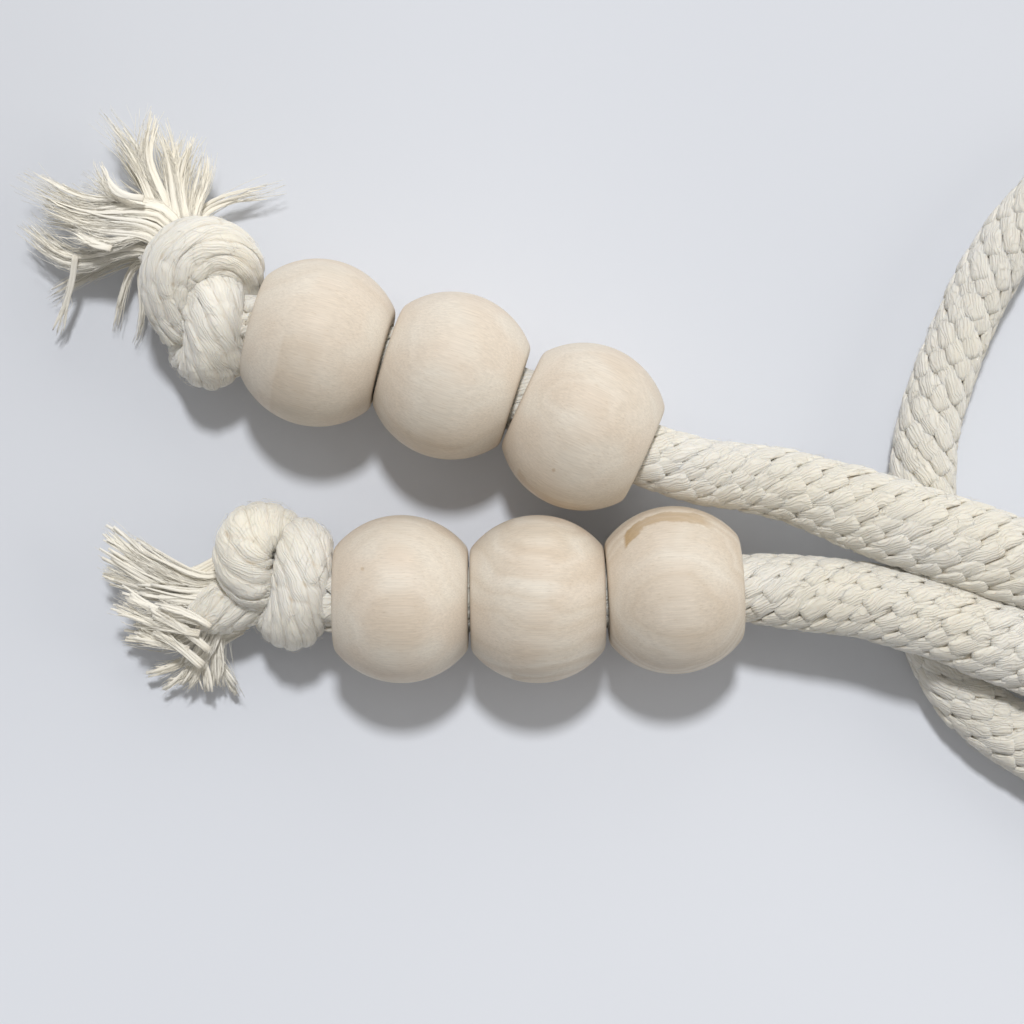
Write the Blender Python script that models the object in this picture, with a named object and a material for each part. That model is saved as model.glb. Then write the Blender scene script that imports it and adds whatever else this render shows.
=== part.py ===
"""Curtain tieback with tassel ends, lying on a flat surface.

One braided cotton rope. Each end runs through three turned wooden beads, is tied in an overhand knot and
frays into a tuft. The middle of the rope turns back as a bight, and both strands pass over it.

Metres, +Z up. The surface is z = 0. X runs along the strands, away from the tufts. The origin lies on the
surface, below the middle of the whole part.
"""

import math

import bmesh
import bpy
import numpy as np
from mathutils import Vector

MM = 0.001
UP = Vector((0, 0, 1))
CLEARANCE = 0.3 * MM

# The places below are measured from a point between the two rows of beads, where the part's middle is at:
PART_MIDDLE = Vector((49.9, -5.5, 0)) * MM

# Beads: balls turned with flat ends and a through bore
BEAD_DIAMETER = 25 * MM
BEAD_LENGTH = 19.8 * MM
BEAD_BORE = 10.8 * MM
BEAD_EDGE = 0.9 * MM
BEAD_FLAT_DEPTH = 0.2 * MM
BEAD_SIDES = 22
BEAD_ARC_STEPS = 8
BEAD_HEIGHT = BEAD_DIAMETER / 2 - BEAD_FLAT_DEPTH

# name: x, y of the centre in mm, heading of the axis in degrees
BEADS = {
    "bead_a1": (-28.9, 25.2, -15.5),
    "bead_a2": (-9.0, 20.3, -18.0),
    "bead_a3": (10.6, 12.7, -24.5),
    "bead_b1": (-16.5, -12.95, 0.0),
    "bead_b2": (3.8, -12.95, 1.0),
    "bead_b3": (24.1, -11.6, 3.0),
}

# Rope
ROPE_IN_BORE = 9.4
ROPE_END_REACH = 10.6 * MM
BORE_POINT_REACH = 7 * MM
ROPE_SIDES = 12
STITCH_PITCH = 3.7 * MM
STITCH_DEPTH = 0.8 * MM

# The rope's route between the two rows of beads: x, y, z of its middle, then its width and height, in mm
ROUTE = [
    # upper strand, which rises over the bight
    (28.0, 6.1, 12.5, 9.7, 9.4),
    (40.0, 4.2, 13.3, 10.4, 9.5),
    (52.0, 0.2, 14.6, 12.0, 9.5),
    (64.0, -3.8, 15.0, 12.5, 9.4),
    (77.0, -8.0, 13.1, 12.1, 9.6),
    # upper loop, on the surface
    (97.0, -12.8, 7.5, 11.0, 9.9),
    (120.0, -14.0, 5.1, 10.4, 10.2),
    (143.0, -8.5, 5.1, 10.4, 10.2),
    (160.0, 6.5, 5.1, 10.4, 10.2),
    (166.0, 27.0, 5.1, 10.4, 10.2),
    (156.0, 47.5, 5.1, 10.4, 10.2),
    (134.0, 60.0, 5.1, 10.4, 10.2),
    (108.0, 61.0, 5.0, 10.0, 10.0),
    (89.5, 54.0, 4.8, 9.4, 9.6),
    # the bight, pressed by the strands that cross it
    (76.5, 42.4, 4.6, 9.1, 9.2),
    (67.8, 26.5, 4.6, 9.1, 9.2),
    (63.0, 12.0, 4.6, 9.5, 9.2),
    (62.2, -4.0, 4.4, 10.4, 8.8),
    (64.6, -20.0, 4.5, 10.0, 9.0),
    (71.0, -30.0, 4.8, 9.8, 9.6),
    (80.5, -36.6, 4.9, 10.0, 9.8),
    # lower loop, on the surface
    (94.5, -46.5, 5.1, 10.4, 10.2),
    (109.5, -58.5, 5.1, 10.4, 10.2),
    (125.5, -69.5, 5.1, 10.4, 10.2),
    (143.0, -73.0, 5.1, 10.4, 10.2),
    (158.5, -66.4, 5.1, 10.4, 10.2),
    (165.0, -51.0, 5.1, 10.4, 10.2),
    (159.0, -36.0, 5.1, 10.4, 10.2),
    (144.0, -28.9, 5.1, 10.4, 10.2),
    (118.0, -29.2, 5.2, 10.4, 10.2),
    (95.5, -27.0, 7.8, 10.8, 9.9),
    # lower strand
    (77.0, -21.2, 11.6, 11.2, 9.6),
    (64.0, -16.3, 13.7, 11.2, 9.4),
    (52.0, -13.1, 13.4, 11.2, 9.4),
    (42.0, -11.9, 12.7, 11.0, 9.6),
]

# Knots: each lobe is a bent length of rope, as x, y, z of its middle and its thickness, in mm
KNOT_SIDES = 12
KNOT_PITCH = 2.6 * MM
KNOT_GRAIN = 0.8 * MM
KNOT_FACES_KEPT = 0.34
RIDGE_DEPTH = 1.3 * MM
RIDGE_PERIOD = 3
KNOT_A = {
    "stub": [(-39.4, 28.1, 12.3, 8.8), (-42.5, 28.9, 10.5, 8.6), (-46.5, 30.5, 8.5, 8.5)],
    "arch": [
        (-41.5, 34.2, 8.0, 8.0),
        (-41.2, 37.4, 11.4, 8.8),
        (-45.4, 39.7, 14.2, 9.0),
        (-50.0, 37.6, 14.4, 9.0),
        (-51.0, 32.4, 12.6, 8.6),
        (-49.2, 27.6, 9.2, 7.4),
    ],
    "turn": [
        (-43.4, 34.0, 6.4, 8.4),
        (-43.8, 29.6, 10.2, 8.6),
        (-44.2, 24.6, 11.4, 9.0),
        (-45.4, 21.8, 8.0, 8.8),
        (-48.5, 26.0, 5.2, 8.6),
    ],
    "neck": [(-47.5, 33.5, 7.2, 8.6), (-50.3, 38.0, 7.8, 9.4), (-51.4, 40.4, 8.0, 10.6)],
}
KNOT_B = {
    "stub": [(-27.5, -12.95, 12.3, 8.8), (-31.0, -12.6, 11.5, 8.8), (-35.0, -11.0, 9.5, 8.5)],
    "arch": [
        (-34.0, -12.6, 5.2, 8.4),
        (-33.8, -6.4, 5.8, 8.6),
        (-36.8, -2.6, 9.6, 9.0),
        (-39.4, -4.2, 13.2, 9.0),
        (-39.6, -8.6, 12.8, 8.8),
        (-37.2, -12.2, 9.4, 7.8),
    ],
    "turn": [
        (-31.6, -5.4, 7.0, 8.6),
        (-31.2, -5.8, 12.0, 8.8),
        (-31.2, -11.6, 13.6, 9.0),
        (-32.0, -16.0, 11.0, 9.2),
        (-34.2, -15.4, 5.8, 8.6),
    ],
    "neck": [(-36.5, -11.0, 6.6, 8.6), (-41.0, -12.0, 6.9, 9.4), (-44.6, -13.2, 7.2, 11.0)],
}

# Tufts: locks of yarn that fan out from a head at the end of the knot's neck
LOCK_SIDES = 4
LOCK_STEPS = 5
LOCK_START = 4.0 * MM
LOCK_WIDTH = 2.2 * MM
LOCK_ROOT_SHARE = 0.4
LOCK_FULL_AT = 0.55
LOCK_SWAY = 11.0
LOCK_CROWDING = 0.8
HEAD_RADIUS = 5.0 * MM
# elevation of the layer in degrees, how fast it droops, share of the full length
LOCK_LAYERS = [(-38.0, 0.0, 0.92), (-4.0, 5.0, 1.0), (30.0, 15.0, 0.9)]
# the head's place in mm, the first and last azimuth in degrees, locks in a layer, their lengths in mm
TUFT_A = {"head": (-51.6, 40.6, 8.0), "first": 62, "last": 206, "locks": 10, "long": 21.0, "short": 15.0}
TUFT_B = {"head": (-44.9, -13.4, 7.4), "first": 144, "last": 288, "locks": 10, "long": 18.5, "short": 13.5}

COTTON = {"color": (0.83, 0.79, 0.69, 1), "roughness": 0.95}
WOOD = {"color": (0.74, 0.64, 0.51, 1), "roughness": 0.55}


def clear_scene():
    for obj in list(bpy.data.objects):
        bpy.data.objects.remove(obj, do_unlink=True)


def material(name, look):
    made = bpy.data.materials.new(name)
    made.use_nodes = True
    shader = made.node_tree.nodes["Principled BSDF"]
    shader.inputs["Base Color"].default_value = look["color"]
    shader.inputs["Roughness"].default_value = look["roughness"]
    shader.inputs["Metallic"].default_value = 0
    made.diffuse_color = look["color"]
    return made


def add_object(name, mesh_data, surface=None):
    """Turns a bmesh into an object of that name, set round the part's origin."""
    bmesh.ops.translate(mesh_data, verts=mesh_data.verts, vec=-PART_MIDDLE)
    bmesh.ops.recalc_face_normals(mesh_data, faces=mesh_data.faces)
    mesh = bpy.data.meshes.new(name)
    mesh_data.to_mesh(mesh)
    mesh_data.free()
    mesh.shade_smooth()
    mesh.set_sharp_from_angle(angle=math.radians(40))
    obj = bpy.data.objects.new(name, mesh)
    bpy.context.scene.collection.objects.link(obj)
    if surface:
        mesh.materials.append(surface)
    return obj


def helper(name, mesh_data):
    """A shape that is only used to join or cut another."""
    obj = add_object(name, mesh_data)
    obj.hide_render = True
    obj.display_type = "WIRE"
    return obj


def combine(obj, other, operation):
    boolean = obj.modifiers.new(other.name, "BOOLEAN")
    boolean.operation = operation
    boolean.solver = "EXACT"
    boolean.object = other


def smooth_rows(rows, steps):
    """A dense list of rows on the natural cubic spline through the given rows, which start with the place."""
    knots = np.array(rows)
    chords = np.linalg.norm(np.diff(knots[:, :3], axis=0), axis=1)
    system = np.eye(len(knots))
    pull = np.zeros_like(knots)
    for index in range(1, len(knots) - 1):
        before, after = chords[index - 1 : index + 1]
        system[index, index - 1 : index + 2] = before, 2 * (before + after), after
        slope_in = (knots[index] - knots[index - 1]) / before
        slope_out = (knots[index + 1] - knots[index]) / after
        pull[index] = 6 * (slope_out - slope_in)
    bends = np.linalg.solve(system, pull)
    dense = []
    for index, chord in enumerate(chords):
        for step in range(steps):
            share = step / steps
            rest = 1 - share
            row = rest * knots[index] + share * knots[index + 1]
            row += (rest**3 - rest) * bends[index] * chord**2 / 6
            row += (share**3 - share) * bends[index + 1] * chord**2 / 6
            dense.append(row.tolist())
    dense.append(knots[-1].tolist())
    return dense


def even_rows(rows, pitch):
    """Rows a pitch apart along the curve that the dense rows follow."""
    reach = [0.0]
    for start, end in zip(rows, rows[1:]):
        reach.append(reach[-1] + math.dist(start[:3], end[:3]))
    count = max(2, round(reach[-1] / pitch))
    spaced = []
    index = 0
    for number in range(count + 1):
        target = reach[-1] * number / count
        while index < len(rows) - 2 and reach[index + 1] < target:
            index += 1
        share = (target - reach[index]) / (reach[index + 1] - reach[index])
        spaced.append([a + (b - a) * share for a, b in zip(rows[index], rows[index + 1])])
    return spaced


def add_tube(mesh_data, rows, sides, depth_at):
    """A closed tube. A row holds x, y, z, width and height in metres, and depth_at(ring, side) is a dent."""
    rings = []
    for number, (x, y, z, width, height) in enumerate(rows):
        before = Vector(rows[max(number - 1, 0)][:3])
        after = Vector(rows[min(number + 1, len(rows) - 1)][:3])
        along = (after - before).normalized()
        across = along.cross(UP).normalized()
        over = across.cross(along)
        ring = []
        for side in range(sides):
            angle = math.tau * side / sides
            dent = depth_at(number, side)
            point = Vector((x, y, z))
            point += across * math.cos(angle) * (width / 2 - dent)
            point += over * math.sin(angle) * (height / 2 - dent)
            point.z = max(point.z, 0)
            ring.append(mesh_data.verts.new(point))
        rings.append(ring)
    for ring, following in zip(rings, rings[1:]):
        for side in range(sides):
            after = (side + 1) % sides
            mesh_data.faces.new((ring[side], ring[after], following[after], following[side]))
    mesh_data.faces.new(rings[0])
    mesh_data.faces.new(rings[-1])


def heading(degrees):
    return Vector((math.cos(math.radians(degrees)), math.sin(math.radians(degrees)), 0))


def bead_centre(name):
    x, y, _ = BEADS[name]
    return Vector((x * MM, y * MM, BEAD_HEIGHT))


def bead_axis(name):
    return heading(BEADS[name][2])


def bead_rows(names):
    """The rope's rows through a row of beads, from its knot to the last bead."""
    first = names[0]
    places = [bead_centre(first) - bead_axis(first) * ROPE_END_REACH]
    for name in names:
        for reach in (-BORE_POINT_REACH, BORE_POINT_REACH):
            places.append(bead_centre(name) + bead_axis(name) * reach)
    return [(*place, ROPE_IN_BORE * MM, ROPE_IN_BORE * MM) for place in places]


def rope_rows():
    row_a = bead_rows(["bead_a1", "bead_a2", "bead_a3"])
    row_b = bead_rows(["bead_b1", "bead_b2", "bead_b3"])
    between = [[value * MM for value in row] for row in ROUTE]
    route = [list(row) for row in row_a] + between + [list(row) for row in reversed(row_b)]
    return even_rows(smooth_rows(route, 12), STITCH_PITCH)


def near_bead(place):
    return any((Vector(place) - bead_centre(name)).length < ROPE_END_REACH + 1 * MM for name in BEADS)


def add_rope(surface):
    """The braid shows as lumps set like a chequer round the rope. They are left off inside the bores."""
    rows = rope_rows()
    plain = [near_bead(row[:3]) for row in rows]

    def stitch_dent(ring, side):
        if plain[ring] or (ring + side) % 2:
            return 0
        return STITCH_DEPTH

    mesh_data = bmesh.new()
    add_tube(mesh_data, rows, ROPE_SIDES, stitch_dent)
    return add_object("rope", mesh_data, surface)


def bead_profile(grow):
    """Half of the outer outline, from one end face to the other, as (along, radius)."""
    ball = BEAD_DIAMETER / 2 + grow
    end = BEAD_LENGTH / 2 + grow
    shoulder = math.acos((end - BEAD_EDGE * 0.6) / ball)
    swing = math.pi - 2 * shoulder
    angles = [shoulder + swing * step / BEAD_ARC_STEPS for step in range(BEAD_ARC_STEPS + 1)]
    arc = [(ball * math.cos(angle), ball * math.sin(angle)) for angle in angles]
    face = arc[0][1] - BEAD_EDGE
    return [(end, face), *arc, (-end, face)]


def bead_bore():
    """The bore's outline, back from the far end to the near end, with eased mouths."""
    radius = BEAD_BORE / 2
    end = BEAD_LENGTH / 2
    ease = BEAD_EDGE / 2
    return [(-end, radius + ease), (-end + ease, radius), (end - ease, radius), (end, radius + ease)]


def turn(mesh_data, outline, name, closed_loop):
    """Turns an outline of (along, radius) round a bead's axis."""
    centre = bead_centre(name)
    along = bead_axis(name)
    across = along.cross(UP)
    rings = []
    for reach, radius in outline:
        ring = []
        for side in range(BEAD_SIDES):
            angle = math.tau * (side + 0.5) / BEAD_SIDES
            outward = across * math.cos(angle) + UP * math.sin(angle)
            ring.append(mesh_data.verts.new(centre + along * reach + outward * radius))
        rings.append(ring)
    following = rings[1:] + rings[:1] if closed_loop else rings[1:]
    for ring, later in zip(rings, following):
        for side in range(BEAD_SIDES):
            after = (side + 1) % BEAD_SIDES
            mesh_data.faces.new((ring[side], ring[after], later[after], later[side]))
    if not closed_loop:
        mesh_data.faces.new(rings[0])
        mesh_data.faces.new(rings[-1])


def add_bead(name, surface):
    """A turned bead. The surface it lies on cuts a small flat spot."""
    mesh_data = bmesh.new()
    turn(mesh_data, bead_profile(0) + bead_bore(), name, True)
    whole = list(mesh_data.verts) + list(mesh_data.edges) + list(mesh_data.faces)
    cut = bmesh.ops.bisect_plane(mesh_data, geom=whole, plane_co=(0, 0, 0), plane_no=UP, clear_inner=True)
    rim = [item for item in cut["geom_cut"] if isinstance(item, bmesh.types.BMEdge)]
    bmesh.ops.contextual_create(mesh_data, geom=rim)
    return add_object(name, mesh_data, surface)


def add_lobe(mesh_data, lobe):
    rows = [(x * MM, y * MM, z * MM, thick * MM, thick * MM) for x, y, z, thick in lobe]

    def ridge_dent(ring, side):
        return 0 if (side + ring) % RIDGE_PERIOD else RIDGE_DEPTH

    add_tube(mesh_data, even_rows(smooth_rows(rows, 8), KNOT_PITCH), KNOT_SIDES, ridge_dent)


def add_lock(mesh_data, head, layer, number, spread, azimuth, length):
    """One blunt lock of yarn: narrow at its root, swaying aside, and level where it meets the surface."""
    elevation, droop, _ = LOCK_LAYERS[layer]
    sway = LOCK_SWAY * math.sin(0.9 * number + 2 * layer)
    rows = []
    for step in range(LOCK_STEPS + 1):
        share = step / LOCK_STEPS
        reach = LOCK_START + (length - LOCK_START) * share
        level_reach = reach * math.cos(math.radians(elevation))
        fullness = LOCK_ROOT_SHARE + (1 - LOCK_ROOT_SHARE) * min(1, share / LOCK_FULL_AT)
        width = min(LOCK_WIDTH * fullness, level_reach * math.radians(spread) * LOCK_CROWDING)
        place = head + heading(azimuth + sway * share * share) * level_reach
        place.z += reach * math.sin(math.radians(elevation)) - droop * reach * reach
        place.z = max(place.z, width / 2)
        rows.append((*place, width, width))
    add_tube(mesh_data, rows, LOCK_SIDES, lambda ring, side: 0)


def add_locks(mesh_data, tuft):
    """Layers of locks of uneven length, the middle layer half a step round from its neighbours."""
    head = Vector(tuft["head"]) * MM
    spread = (tuft["last"] - tuft["first"]) / (tuft["locks"] - 1)
    for layer, (_, _, layer_share) in enumerate(LOCK_LAYERS):
        offset = layer % 2
        for number in range(tuft["locks"] - offset):
            azimuth = tuft["first"] + spread * (number + offset / 2)
            unevenness = 0.5 + 0.5 * math.sin(2.4 * number + 1.7 * layer)
            length = tuft["short"] + (tuft["long"] - tuft["short"]) * unevenness
            add_lock(mesh_data, head, layer, number, spread, azimuth, length * layer_share * MM)


def add_tassel(name, knot, tuft, bead, surface):
    """An overhand knot with its frayed end, fused, and pressed against its bead with a small gap."""
    base = bmesh.new()
    head = Vector(tuft["head"]) * MM
    bmesh.ops.create_icosphere(base, subdivisions=2, radius=HEAD_RADIUS)
    bmesh.ops.translate(base, verts=base.verts, vec=head)
    for lobe in knot.values():
        add_lobe(base, lobe)
    tassel = add_object(name, base, surface)
    fuse = tassel.modifiers.new("fuse", "REMESH")
    fuse.mode = "VOXEL"
    fuse.voxel_size = KNOT_GRAIN
    fuse.use_smooth_shade = True
    thin_out = tassel.modifiers.new("thin_out", "DECIMATE")
    thin_out.ratio = KNOT_FACES_KEPT
    locks = bmesh.new()
    add_locks(locks, tuft)
    combine(tassel, helper(f"{name}_locks", locks), "UNION")
    rope_side = -ROPE_END_REACH - CLEARANCE
    rope_room = ROPE_IN_BORE * MM / 2 + CLEARANCE
    bead_room = bead_profile(CLEARANCE)
    bead_side = bead_room[-1][0]
    room = bmesh.new()
    turn(room, [*bead_room, (bead_side, rope_room), (rope_side, rope_room)], bead, False)
    combine(tassel, helper(f"{name}_room", room), "DIFFERENCE")
    return tassel


def main():
    clear_scene()
    cotton = material("cotton", COTTON)
    wood = material("wood", WOOD)
    add_rope(cotton)
    for name in BEADS:
        add_bead(name, wood)
    add_tassel("tassel_a", KNOT_A, TUFT_A, "bead_a1", cotton)
    add_tassel("tassel_b", KNOT_B, TUFT_B, "bead_b1", cotton)


main()
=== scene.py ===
"""Looks of a curtain tieback: braided cotton rope, turned wooden beads, knots and frayed ends.

Everything is in metres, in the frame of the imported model. Places in the tables are in millimetres, measured
from the point between the two rows of beads that the camera looks down on.
"""

import math
from functools import reduce

import bpy
import numpy as np
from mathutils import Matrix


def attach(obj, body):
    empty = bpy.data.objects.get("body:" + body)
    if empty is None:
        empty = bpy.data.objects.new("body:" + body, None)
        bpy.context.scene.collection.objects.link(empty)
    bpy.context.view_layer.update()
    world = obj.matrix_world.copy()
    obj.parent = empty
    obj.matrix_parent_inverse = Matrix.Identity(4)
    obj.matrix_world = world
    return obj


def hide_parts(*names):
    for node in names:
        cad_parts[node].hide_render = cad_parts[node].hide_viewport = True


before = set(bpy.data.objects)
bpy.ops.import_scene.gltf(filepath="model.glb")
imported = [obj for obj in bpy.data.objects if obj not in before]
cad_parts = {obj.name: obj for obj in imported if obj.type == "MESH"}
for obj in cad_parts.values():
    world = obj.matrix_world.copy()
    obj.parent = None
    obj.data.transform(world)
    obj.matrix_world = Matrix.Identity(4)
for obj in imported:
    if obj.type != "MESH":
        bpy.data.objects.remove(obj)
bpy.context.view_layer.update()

MM = 0.001
UP = np.array((0.0, 0.0, 1.0))
VIEW_POINT = np.array((-49.9, 5.5, 0.0)) * MM
RANDOM = np.random.default_rng(7)

# Camera: straight above the view point
CAMERA_HEIGHT = 420 * MM
SENSOR_WIDTH = 36.0
LENS = 96.27

# Curves and patterns. No tube starts out along TUBE_ASIDE and no fibre along FIBRE_ASIDE. The shifts, in mm,
# keep the pattern of one strand from lining up with the next one's.
SPLINE_STEPS = 24
TUBE_ASIDE = (0.3, 0.2, 1.0)
FIBRE_ASIDE = (0.31, 0.17, 0.93)
PATTERN_SHIFT = 900
PATTERN_SIDE_SHIFT = 90

# Rope. It is thinner in the bores, where each bead has two points of its route, and it ends inside the
# knots, ROPE_END_REACH from the middle of the last bead.
ROPE_DIAMETER = 10 * MM
ROPE_IN_BORE = 9.4 * MM
ROPE_END_REACH = 10.6 * MM
BORE_POINT_REACH = 7 * MM
ROPE_STEP = 0.6 * MM
CORE_STEP = 2.5 * MM
CORE_SIDES = 20
CORE_DEPTH = 0.68 * MM
CORE_SHADE = 0.55

# A stitch is the stretch of one strand that shows between two others. It starts tucked in and ends bluntly.
# The section's rows are sideways and upwards, as shares of half the width and half the thickness. The
# profile's are a place along it from -1 to 1, then the shares of its width, thickness and depth there.
STITCH_SECTION = np.array(
    [
        (1.00, 0.02),
        (0.87, 0.62),
        (0.42, 0.97),
        (-0.42, 0.97),
        (-0.87, 0.62),
        (-1.00, 0.02),
        (-0.50, -0.90),
        (0.50, -0.90),
    ]
)
STITCH_PROFILE = np.array(
    [
        (-1.00, 0.50, 0.60, 1.00),
        (-0.70, 0.78, 0.80, 0.62),
        (-0.38, 0.94, 0.95, 0.28),
        (0.00, 1.00, 1.00, 0.08),
        (0.40, 1.00, 1.00, 0.00),
        (0.80, 1.00, 1.00, 0.00),
        (0.95, 0.94, 1.00, 0.04),
        (1.00, 0.82, 0.80, 0.38),
    ]
)
ROPE_LOOK = {
    "columns": 12,
    "pitch": 3.74 * MM,
    "half_reach": 2.80 * MM,
    "half_swing": 0.42,
    "width": 2.80 * MM,
    "thick": 1.2 * MM,
    "dip": 1.00 * MM,
    "bulge": 0.15 * MM,
    "jitter": 0.14 * MM,
    "uneven": 0.08 * MM,
}
STITCH_TILT = 0.03
STITCH_FATNESS = (0.92, 1.10)
STITCH_LEAN = (0.90, 1.10)
DEEPEST = 1.7 * MM

# Loose ends of fibre on rope and knots: the lengths are in mm
FUZZ_STEPS = 5
FUZZ_SIDES = 3
FUZZ_RADIUS = (0.016, 0.028)
FUZZ_ROOT = 0.3 * MM
FUZZ_RISE = 0.5 * MM
FUZZ_HEIGHTS = (0.15, 1.0)
FUZZ_WANDER = 1.1
FUZZ_CURL = (0.45, 0.85)
FUZZ_CLEAR_OF_BEADS = 13 * MM
ROPE_FUZZ = {"count": 6600, "lengths": (0.9, 2.6)}
KNOT_FUZZ = {"count": 260, "lengths": (1.2, 3.8)}

# A lobe of a knot is covered with low ribs of cotton, pressed together, and each rib is nipped in at every
# stitch. A rib's flanks and its nips get painted shade. lean is the angle of the ribs to the lobe's axis.
LOBE_STEP = 0.4 * MM
RIB_STEPS = 8
RIB_RELIEF = 0.34 * MM
RIB_STITCH = 4.3 * MM
RIB_ROUNDNESS = 2.6
RIB_NIP = 7
RIB_WAVER = 0.05
RIB_WAVES = 0.9
RIB_SHIFT = 0.08
RIB_UNEVEN = 0.07
RIB_SLANT = 0.12
FLANK_PAINTED_SHADE = 0.40
NIP_PAINTED_SHADE = 0.42
SWELLS = 5
SWELL_TURNS = (1, 4)
SWELL_WAVES = (0.3, 0.8)
LAY = {
    "along": {"ribs": 12, "lean": 17},
    "aslant": {"ribs": 10, "lean": 38},
    "round": {"ribs": 6, "lean": 62},
}

# Beads. name: x, y of the centre in mm, heading of the axis in degrees
BEADS = {
    "bead_a1": (-28.9, 25.2, -15.5),
    "bead_a2": (-9.0, 20.3, -18.0),
    "bead_a3": (10.6, 12.7, -24.5),
    "bead_b1": (-16.5, -12.95, 0.0),
    "bead_b2": (3.8, -12.95, 1.0),
    "bead_b3": (24.1, -11.6, 3.0),
}
BEAD_DIAMETER = 25 * MM
BEAD_LENGTH = 20 * MM
BEAD_BORE = 10.8 * MM
BEAD_EDGE = 2 * MM
BORE_EDGE = 0.4 * MM
# of its middle over the surface: less than half its diameter, because of the flat spot
BEAD_HEIGHT = 12.3 * MM
BEAD_SIDES = 112
BEAD_ARC_STEPS = 20
BEAD_EDGE_STEPS = 8
BORE_EDGE_STEPS = 5
BORE_PLACES = (0, 0.3, 0.6, 0.85)

# The rope's route between the two rows of beads: x, y, z of its middle, then its width and height, in mm
ROUTE = [
    # upper strand, which rises over the bight
    (28.0, 6.1, 12.5, 9.7, 9.4),
    (40.0, 4.2, 13.3, 10.4, 9.5),
    (52.0, 0.2, 14.6, 12.3, 9.5),
    (64.0, -3.8, 15.0, 13.0, 9.4),
    (77.0, -8.0, 13.1, 12.8, 9.6),
    # upper loop, on the surface
    (97.0, -12.8, 7.5, 11.0, 9.9),
    (120.0, -14.0, 5.1, 10.4, 10.2),
    (143.0, -8.5, 5.1, 10.4, 10.2),
    (160.0, 6.5, 5.1, 10.4, 10.2),
    (166.0, 27.0, 5.1, 10.4, 10.2),
    (156.0, 47.5, 5.1, 10.4, 10.2),
    (134.0, 60.0, 5.1, 10.4, 10.2),
    (108.0, 61.0, 5.0, 10.0, 10.0),
    (89.5, 54.0, 4.8, 9.4, 9.6),
    # the bight, pressed by the strands that cross it
    (76.5, 42.4, 4.6, 9.1, 9.2),
    (67.8, 26.5, 4.6, 9.1, 9.2),
    (63.0, 12.0, 4.6, 9.5, 9.2),
    (62.2, -4.0, 4.4, 10.4, 8.8),
    (64.6, -20.0, 4.5, 10.0, 9.0),
    (71.0, -30.0, 4.8, 9.8, 9.6),
    (80.5, -36.6, 4.9, 10.0, 9.8),
    # lower loop, on the surface
    (94.5, -46.5, 5.1, 10.4, 10.2),
    (109.5, -58.5, 5.1, 10.4, 10.2),
    (125.5, -69.5, 5.1, 10.4, 10.2),
    (143.0, -73.0, 5.1, 10.4, 10.2),
    (158.5, -66.4, 5.1, 10.4, 10.2),
    (165.0, -51.0, 5.1, 10.4, 10.2),
    (159.0, -36.0, 5.1, 10.4, 10.2),
    (144.0, -28.9, 5.1, 10.4, 10.2),
    (118.0, -29.2, 5.2, 10.4, 10.2),
    (95.5, -27.0, 7.8, 10.8, 9.9),
    # lower strand
    (77.0, -21.2, 11.6, 11.8, 9.6),
    (64.0, -16.3, 13.7, 11.8, 9.4),
    (52.0, -13.1, 13.4, 11.2, 9.4),
    (42.0, -11.9, 12.7, 11.0, 9.6),
]

# Knots: each lobe is a bent length of rope, as x, y, z of its middle and its thickness, in mm
KNOT_A = {
    "stub": [
        (-34.5, 26.8, 12.3, 8.6),
        (-37.2, 27.5, 12.0, 8.8),
        (-40.5, 28.6, 9.5, 8.6),
        (-46.5, 30.5, 7.0, 8.5),
    ],
    "arch": [
        (-41.8, 33.8, 8.0, 8.0),
        (-41.7, 37.0, 11.4, 9.0),
        (-45.4, 38.8, 14.0, 10.6),
        (-49.4, 36.8, 14.3, 10.6),
        (-50.6, 32.2, 12.6, 9.2),
        (-49.0, 27.4, 9.2, 7.8),
    ],
    "turn": [
        (-47.0, 37.0, 7.5, 8.4),
        (-44.6, 33.2, 12.4, 9.2),
        (-44.2, 28.6, 14.4, 9.4),
        (-44.9, 23.1, 10.6, 9.6),
        (-48.5, 25.5, 5.2, 8.6),
    ],
    "neck": [
        (-47.5, 33.5, 7.2, 8.6),
        (-50.3, 38.0, 7.8, 9.4),
        (-51.4, 40.4, 8.0, 10.6),
    ],
}
KNOT_B = {
    "stub": [
        (-22.5, -12.95, 12.3, 8.6),
        (-27.5, -12.95, 12.3, 8.8),
        (-31.0, -12.6, 11.5, 8.8),
        (-35.0, -11.0, 9.5, 8.5),
    ],
    "arch": [
        (-34.0, -12.6, 5.2, 8.4),
        (-33.8, -6.4, 5.8, 8.6),
        (-36.8, -2.9, 9.6, 9.2),
        (-39.4, -4.4, 13.2, 9.2),
        (-39.4, -8.6, 12.8, 9.0),
        (-37.0, -11.8, 9.4, 7.8),
    ],
    "turn": [
        (-31.6, -5.4, 7.0, 8.6),
        (-30.9, -5.8, 12.0, 8.8),
        (-31.1, -11.2, 13.8, 9.2),
        (-32.4, -15.8, 11.2, 9.4),
        (-35.0, -15.4, 5.8, 8.6),
    ],
    "neck": [
        (-36.5, -11.5, 7.0, 8.6),
        (-41.0, -13.4, 8.2, 8.6),
        (-45.2, -14.6, 8.0, 7.8),
        (-47.6, -15.4, 7.4, 6.0),
    ],
}
LAYS_A = {"stub": "aslant", "arch": "along", "turn": "aslant", "neck": "along"}
LAYS_B = {"stub": "aslant", "arch": "round", "turn": "aslant", "neck": "aslant"}

# Tufts. A neck says where the frayed yarns start inside the knot, where they come out, and how close
# together they start.
NECK_A = {"inner": (-49.0, 37.0, 8.0), "mouth": (-52.5, 42.5, 8.0), "gather": 0.5}
NECK_B = {"inner": (-41.0, -13.0, 8.0), "mouth": (-47.5, -16.5, 7.0), "gather": 0.9}

LOCK_STEP = 0.4 * MM
LOCK_FLATNESS = 0.35

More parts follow.
